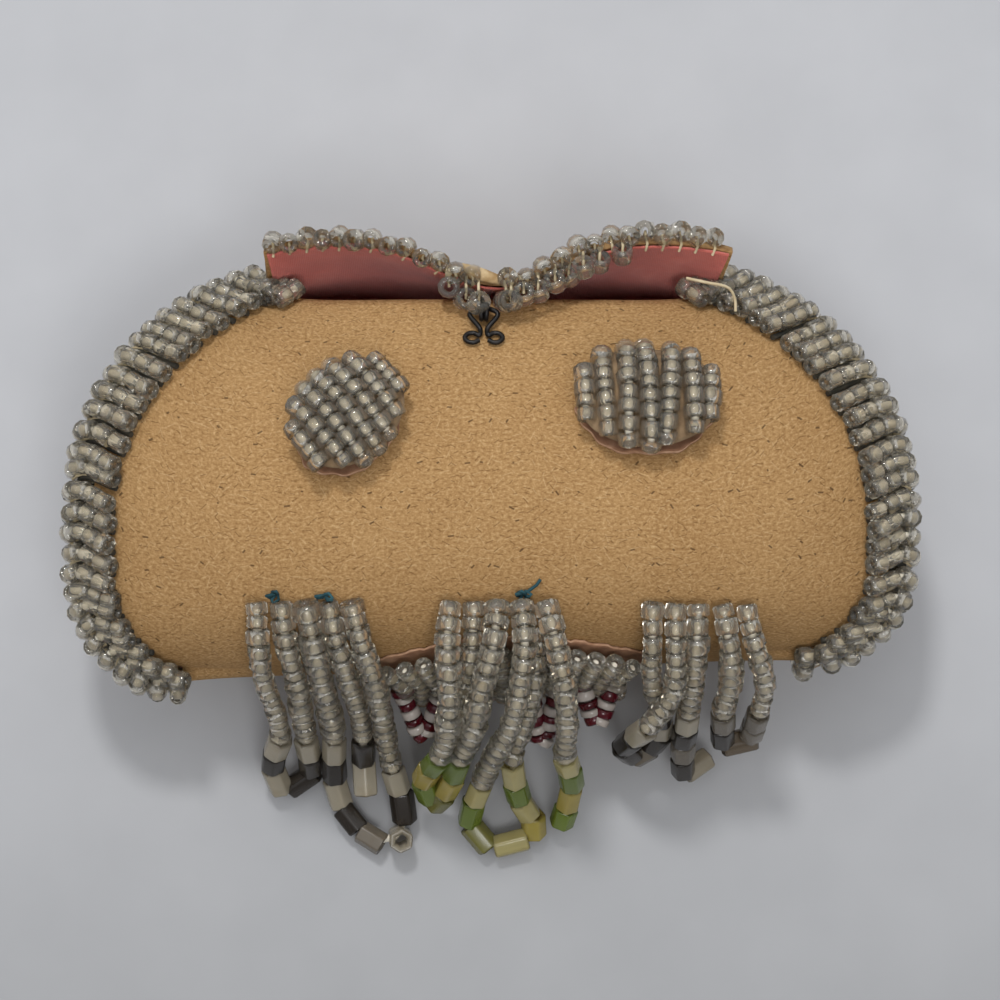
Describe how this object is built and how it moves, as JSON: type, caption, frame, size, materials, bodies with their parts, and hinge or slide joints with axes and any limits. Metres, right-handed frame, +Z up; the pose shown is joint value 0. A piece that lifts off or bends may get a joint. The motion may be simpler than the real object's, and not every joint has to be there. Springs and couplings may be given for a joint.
{
  "type": "beaded souvenir purse",
  "caption": "Small rounded card purse with a lined flap, hook and eye, bead-whipped side seams, domed bead bosses and looped bead fringes on the front.",
  "frame": {"origin": "on the table face of the back, under the middle of the body", "axes": "+X to the purse's right as it lies, +Y towards the mouth, +Z up out of the front"},
  "size_m": [0.1192, 0.0858, 0.0462],
  "materials": {
    "card": "fibrous tan card, matt",
    "lining": "faded pink cotton, matt",
    "backing": "pinkish brown paper, matt",
    "clear_beads": "clear glass seed beads on cream thread",
    "red_white_beads": "dark red and white glass beads",
    "grey_beads": "hex-cut grey and cream glass beads",
    "green_beads": "hex-cut green and yellow glass beads",
    "black_wire": "black lacquered wire"
  },
  "bodies": {
    "root": {"card": "card", "eye": "black_wire", "fan_backing": "backing", "fan_clear_beads": "clear_beads", "fan_scallop_left": "red_white_beads", "fan_scallop_middle": "red_white_beads", "fan_scallop_right": "red_white_beads", "flap_beads_inside": "clear_beads", "flap_beads_left": "clear_beads", "flap_beads_right": "clear_beads", "hook": "black_wire", "left_boss_backing": "backing", "left_boss_beads": "clear_beads", "left_drop_1": "grey_beads", "left_drop_2": "grey_beads", "left_drop_3": "grey_beads", "left_seam_beads": "clear_beads", "left_strand_1": "clear_beads", "left_strand_2": "clear_beads", "left_strand_3": "clear_beads", "left_strand_4": "clear_beads", "left_strand_5": "clear_beads", "lining": "lining", "middle_drop_1": "green_beads", "middle_drop_2": "green_beads", "middle_drop_3": "green_beads", "middle_strand_1": "clear_beads", "middle_strand_2": "clear_beads", "middle_strand_3": "clear_beads", "middle_strand_4": "clear_beads", "middle_strand_5": "clear_beads", "middle_strand_6": "clear_beads", "right_boss_backing": "backing", "right_boss_beads": "clear_beads", "right_drop_1": "grey_beads", "right_drop_2": "grey_beads", "right_drop_3": "grey_beads", "right_seam_beads": "clear_beads", "right_strand_1": "clear_beads", "right_strand_2": "clear_beads", "right_strand_3": "clear_beads", "right_strand_4": "clear_beads", "right_strand_5": "clear_beads"}
  },
  "joints": []
}
